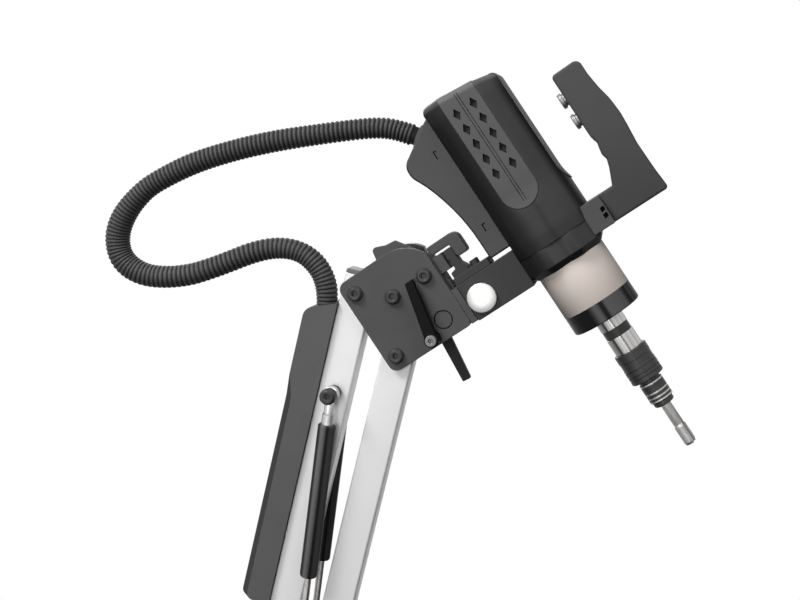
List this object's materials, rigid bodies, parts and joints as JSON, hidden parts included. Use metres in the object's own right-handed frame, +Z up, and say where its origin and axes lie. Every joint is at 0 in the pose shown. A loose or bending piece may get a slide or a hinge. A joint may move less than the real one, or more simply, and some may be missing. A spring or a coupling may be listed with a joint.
{
  "type": "tapping machine",
  "caption": "Electric tapping machine on a balanced two-stage parallelogram arm, with a tilting motor head, grip handle, quick-change tap chuck and bench base.",
  "frame": {"origin": "centre of the base plate's underside, on the swivel axis", "axes": "+X from the swivel axis towards the motor head, +Y to the far side of the arm, +Z up"},
  "size_m": [0.9241, 0.24, 1.5258],
  "materials": {
    "dark_paint": "satin dark grey powder coat",
    "post_steel": "turned steel",
    "bright_steel": "bright ground steel",
    "dark_steel": "black oxide steel",
    "white_paint": "satin white powder coat",
    "grey_paint": "moulded light grey plastic",
    "cover_paint": "satin dark grey powder coat",
    "black_paint": "semi-gloss black paint",
    "beige_paint": "satin beige enamel",
    "black_plastic": "black moulded nylon",
    "knob_plastic": "dark grey moulded plastic",
    "button_metal": "polished metal",
    "motor_alloy": "cast aluminium",
    "conduit_black": "ribbed black conduit"
  },
  "bodies": {
    "base": {"base_plate": "dark_paint", "swivel_post": "post_steel", "post_screws": "dark_steel"},
    "turret": {"turret": "dark_paint", "shoulder_plates": "dark_paint", "shoulder_bolts": "dark_steel"},
    "swivel_lock": {"swivel_lock_lever": "black_plastic"},
    "lower_arm": {"lower_main_tube": "white_paint", "lower_main_caps": "grey_paint", "lower_gas_studs": "dark_steel", "lower_cable_cover": "cover_paint"},
    "lower_link": {"lower_link_tube": "white_paint", "lower_link_caps": "grey_paint"},
    "lower_cylinders": {"lower_gas_cylinders": "black_paint"},
    "lower_rods": {"lower_gas_rods": "bright_steel"},
    "elbow": {"elbow_plates": "dark_paint", "elbow_spacers": "dark_steel", "elbow_bolts": "dark_steel"},
    "upper_arm": {"upper_main_tube": "white_paint", "upper_main_caps": "grey_paint", "upper_gas_studs": "dark_steel", "upper_cable_cover": "cover_paint", "arm_gland": "black_plastic", "conduit": "conduit_black"},
    "upper_link": {"upper_link_tube": "white_paint", "upper_link_caps": "grey_paint"},
    "upper_cylinders": {"upper_gas_cylinders": "black_paint"},
    "upper_rods": {"upper_gas_rods": "bright_steel"},
    "head": {"head_plate_near": "dark_paint", "head_plate_far": "dark_paint", "head_block": "dark_paint", "head_bolts": "dark_steel", "roll_shaft": "dark_paint"},
    "near_lever": {"near_clamp_lever": "black_plastic"},
    "far_lever": {"far_clamp_lever": "black_plastic"},
    "star_knob": {"star_knob": "knob_plastic"},
    "head_unit": {"clamp_block": "dark_paint", "index_plate": "dark_paint", "brake_plug": "bright_steel", "housing_left": "dark_paint", "housing_right": "dark_paint", "housing_base": "dark_paint", "servo_motor": "motor_alloy", "cable_box": "dark_paint", "motor_gland": "black_plastic", "handle_bracket": "dark_paint", "handle_grip": "knob_plastic", "gearbox": "beige_paint", "gearbox_collar": "black_paint", "spindle_bearing": "post_steel"},
    "plunger": {"plunger_handle": "dark_steel"},
    "start_button": {"start_button": "button_metal"},
    "reverse_button": {"reverse_button": "button_metal"},
    "spindle": {"spindle": "bright_steel", "tap_collet": "dark_steel", "tap": "bright_steel"},
    "collar": {"chuck_collar": "dark_steel"}
  },
  "joints": [
    {"name": "base_swivel", "type": "hinge", "parent": "base", "child": "turret", "pos_m": [0, 0, 0.09], "axis": [0, 0, 1], "range_deg": [-170, 170]},
    {"name": "swivel_lock_turn", "type": "hinge", "parent": "turret", "child": "swivel_lock", "pos_m": [0, -0.05, 0.095], "axis": [0, 1, 0], "range_deg": [-60, 60]},
    {"name": "lower_lift", "type": "hinge", "parent": "turret", "child": "lower_arm", "pos_m": [0.045, 0, 0.3], "axis": [0, -1, 0], "range_deg": [-38, 12]},
    {"name": "lower_link_lift", "type": "hinge", "parent": "turret", "child": "lower_link", "pos_m": [-0.045, 0, 0.3], "axis": [0, -1, 0], "range_deg": [-38, 12]},
    {"name": "elbow_level", "type": "hinge", "parent": "lower_arm", "child": "elbow", "pos_m": [-0.12601, 0, 0.76985], "axis": [0, -1, 0], "range_deg": [-12, 38]},
    {"name": "lower_cylinder_turn", "type": "hinge", "parent": "lower_arm", "child": "lower_cylinders", "pos_m": [-0.08223, 0, 0.64957], "axis": [0, -1, 0], "range_deg": [-6, 6]},
    {"name": "lower_rod_slide", "type": "slide", "parent": "lower_cylinders", "child": "lower_rods", "axis": [0.2416, 0, -0.9704], "range_m": [-0.02, 0.03]},
    {"name": "upper_lift", "type": "hinge", "parent": "elbow", "child": "upper_arm", "pos_m": [-0.06601, 0, 0.91985], "axis": [0, -1, 0], "range_deg": [-60, 10]},
    {"name": "upper_link_lift", "type": "hinge", "parent": "elbow", "child": "upper_link", "pos_m": [-0.06601, 0, 0.82985], "axis": [0, -1, 0], "range_deg": [-60, 10]},
    {"name": "head_level", "type": "hinge", "parent": "upper_arm", "child": "head", "pos_m": [0.30556, 0, 1.25441], "axis": [0, -1, 0], "range_deg": [-10, 60], "deforming": ["conduit"]},
    {"name": "upper_cylinder_turn", "type": "hinge", "parent": "upper_arm", "child": "upper_cylinders", "pos_m": [0.21044, 0, 1.16876], "axis": [0, -1, 0], "range_deg": [-6, 6]},
    {"name": "upper_rod_slide", "type": "slide", "parent": "upper_cylinders", "child": "upper_rods", "axis": [-0.6689, 0, -0.7433], "range_m": [-0.05, 0.02]},
    {"name": "head_roll", "type": "hinge", "parent": "head", "child": "head_unit", "pos_m": [0.41556, 0, 1.17041], "axis": [1, 0, 0], "range_deg": [-90, 90]},
    {"name": "near_clamp_turn", "type": "hinge", "parent": "head", "child": "near_lever", "pos_m": [0.35606, -0.03, 1.15791], "axis": [0, 1, 0], "range_deg": [-60, 20]},
    {"name": "far_clamp_turn", "type": "hinge", "parent": "head", "child": "far_lever", "pos_m": [0.35606, 0.03, 1.15791], "axis": [0, 1, 0], "range_deg": [-40, 40]},
    {"name": "star_knob_turn", "type": "hinge", "parent": "head", "child": "star_knob", "pos_m": [0.36406, 0.03, 1.23991], "axis": [0, 1, 0], "range_deg": [-180, 180]},
    {"name": "plunger_pull", "type": "slide", "parent": "head_unit", "child": "plunger", "axis": [1, 0, 0], "range_m": [0, 0.008], "stiffness_N_per_m": 500, "springref_m": -0.01},
    {"name": "start_press", "type": "slide", "parent": "head_unit", "child": "start_button", "axis": [1, 0, 0], "range_m": [0, 0.002], "stiffness_N_per_m": 300, "springref_m": -0.004},
    {"name": "reverse_press", "type": "slide", "parent": "head_unit", "child": "reverse_button", "axis": [1, 0, 0], "range_m": [0, 0.002], "stiffness_N_per_m": 300, "springref_m": -0.004},
    {"name": "spindle_turn", "type": "hinge", "parent": "head_unit", "child": "spindle", "pos_m": [0.54056, 0, 1.05441], "axis": [0, 0, 1], "continuous": true},
    {"name": "collar_slide", "type": "slide", "parent": "spindle", "child": "collar", "axis": [0, 0, 1], "range_m": [0, 0.004], "stiffness_N_per_m": 2000, "springref_m": -0.003}
  ],
  "couplings": [
    {"joint": "lower_link_lift", "follows": "lower_lift", "ratio": 1},
    {"joint": "elbow_level", "follows": "lower_lift", "ratio": -1},
    {"joint": "lower_cylinder_turn", "follows": "lower_lift", "ratio": -0.08},
    {"joint": "lower_rod_slide", "follows": "lower_lift", "m_per_rad": -0.0315},
    {"joint": "upper_link_lift", "follows": "upper_lift", "ratio": 1},
    {"joint": "head_level", "follows": "upper_lift", "ratio": -1},
    {"joint": "upper_cylinder_turn", "follows": "upper_lift", "ratio": -0.0175},
    {"joint": "upper_rod_slide", "follows": "upper_lift", "m_per_rad": 0.0435}
  ]
}
